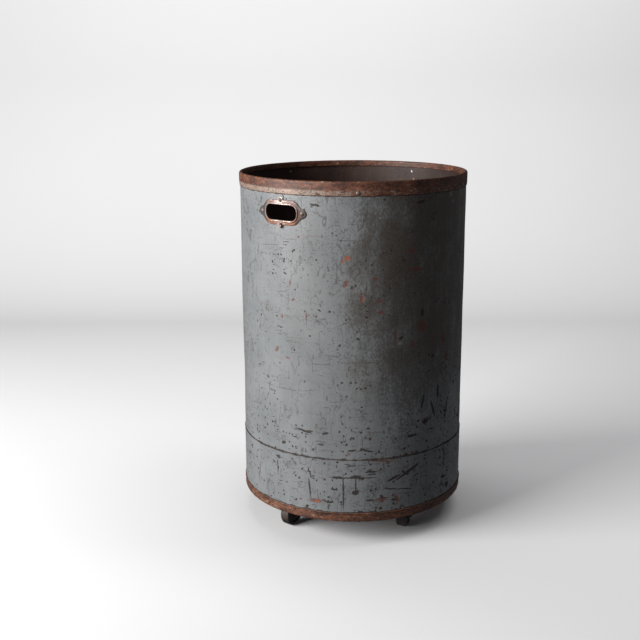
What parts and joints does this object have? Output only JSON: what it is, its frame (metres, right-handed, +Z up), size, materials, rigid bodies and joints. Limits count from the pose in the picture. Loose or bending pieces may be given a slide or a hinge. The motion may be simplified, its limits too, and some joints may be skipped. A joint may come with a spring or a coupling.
{
  "type": "open-top steel drum on swivel casters",
  "caption": "Open-top riveted sheet-steel drum with rolled rims, a kick band, two handholes and a recessed bottom on swivel casters.",
  "frame": {"origin": "on the floor under the drum's centre, level with the wheels' lowest points", "axes": "+Z up along the drum's axis, -Y through the front handhole and +Y through the rear one"},
  "size_m": [0.4613, 0.4653, 0.715],
  "materials": {
    "grey_paint": "worn grey paint over sheet steel, chipped and rust-stained",
    "rusted_rim": "bare rolled steel, rusted brown with worn bright edges",
    "worn_steel": "pressed steel, half painted and half rusted",
    "dark_steel": "dark oily rusted steel",
    "bearing_steel": "greasy bearing steel",
    "wheel_black": "hard black rubber, scuffed and dusty"
  },
  "bodies": {
    "drum": {"shell": "grey_paint", "kick_band": "grey_paint", "bottom_pan": "dark_steel", "top_rim": "rusted_rim", "bottom_rim": "rusted_rim", "front_handhole_plate": "worn_steel", "rear_handhole_plate": "worn_steel", "front_handhole_rivets": "worn_steel", "rear_handhole_rivets": "worn_steel", "front_handhole_bolt": "worn_steel", "front_handhole_nut": "worn_steel", "rim_rivets": "worn_steel", "seam_rivets": "grey_paint", "band_rivets": "grey_paint", "front_caster_bar": "dark_steel", "rear_caster_bar": "dark_steel", "caster_bolts": "dark_steel", "caster_nuts": "dark_steel", "front_caster_plate": "dark_steel", "front_caster_kingpin": "dark_steel", "right_caster_plate": "dark_steel", "right_caster_kingpin": "dark_steel", "rear_caster_plate": "dark_steel", "rear_caster_kingpin": "dark_steel", "left_caster_plate": "dark_steel", "left_caster_kingpin": "dark_steel"},
    "front_swivel": {"front_caster_fork": "dark_steel", "front_caster_balls": "bearing_steel", "front_caster_axle": "dark_steel", "front_caster_axle_nut": "dark_steel"},
    "front_roller": {"front_caster_wheel": "wheel_black", "front_caster_bushing": "bearing_steel"},
    "right_swivel": {"right_caster_fork": "dark_steel", "right_caster_balls": "bearing_steel", "right_caster_axle": "dark_steel", "right_caster_axle_nut": "dark_steel"},
    "right_roller": {"right_caster_wheel": "wheel_black", "right_caster_bushing": "bearing_steel"},
    "rear_swivel": {"rear_caster_fork": "dark_steel", "rear_caster_balls": "bearing_steel", "rear_caster_axle": "dark_steel", "rear_caster_axle_nut": "dark_steel"},
    "rear_roller": {"rear_caster_wheel": "wheel_black", "rear_caster_bushing": "bearing_steel"},
    "left_swivel": {"left_caster_fork": "dark_steel", "left_caster_balls": "bearing_steel", "left_caster_axle": "dark_steel", "left_caster_axle_nut": "dark_steel"},
    "left_roller": {"left_caster_wheel": "wheel_black", "left_caster_bushing": "bearing_steel"}
  },
  "joints": [
    {"name": "front_caster_swivel", "type": "hinge", "parent": "drum", "child": "front_swivel", "pos_m": [-0.025, -0.15784, 0.057], "axis": [0, 0, 1], "continuous": true},
    {"name": "front_wheel_spin", "type": "hinge", "parent": "front_swivel", "child": "front_roller", "pos_m": [-0.02413, -0.17782, 0.025], "axis": [0.999, 0.0436, 0], "continuous": true},
    {"name": "right_caster_swivel", "type": "hinge", "parent": "drum", "child": "right_swivel", "pos_m": [0.15784, -0.025, 0.057], "axis": [0, 0, 1], "continuous": true},
    {"name": "right_wheel_spin", "type": "hinge", "parent": "right_swivel", "child": "right_roller", "pos_m": [0.16385, -0.04407, 0.025], "axis": [0.9537, 0.3007, 0], "continuous": true},
    {"name": "rear_caster_swivel", "type": "hinge", "parent": "drum", "child": "rear_swivel", "pos_m": [0.025, 0.15784, 0.057], "axis": [0, 0, 1], "continuous": true},
    {"name": "rear_wheel_spin", "type": "hinge", "parent": "rear_swivel", "child": "rear_roller", "pos_m": [0.03313, 0.13957, 0.025], "axis": [0.9135, 0.4067, 0], "continuous": true},
    {"name": "left_caster_swivel", "type": "hinge", "parent": "drum", "child": "left_swivel", "pos_m": [-0.15784, 0.025, 0.057], "axis": [0, 0, 1], "continuous": true},
    {"name": "left_wheel_spin", "type": "hinge", "parent": "left_swivel", "child": "left_roller", "pos_m": [-0.15923, 0.00505, 0.025], "axis": [0.9976, -0.0698, 0], "continuous": true}
  ]
}
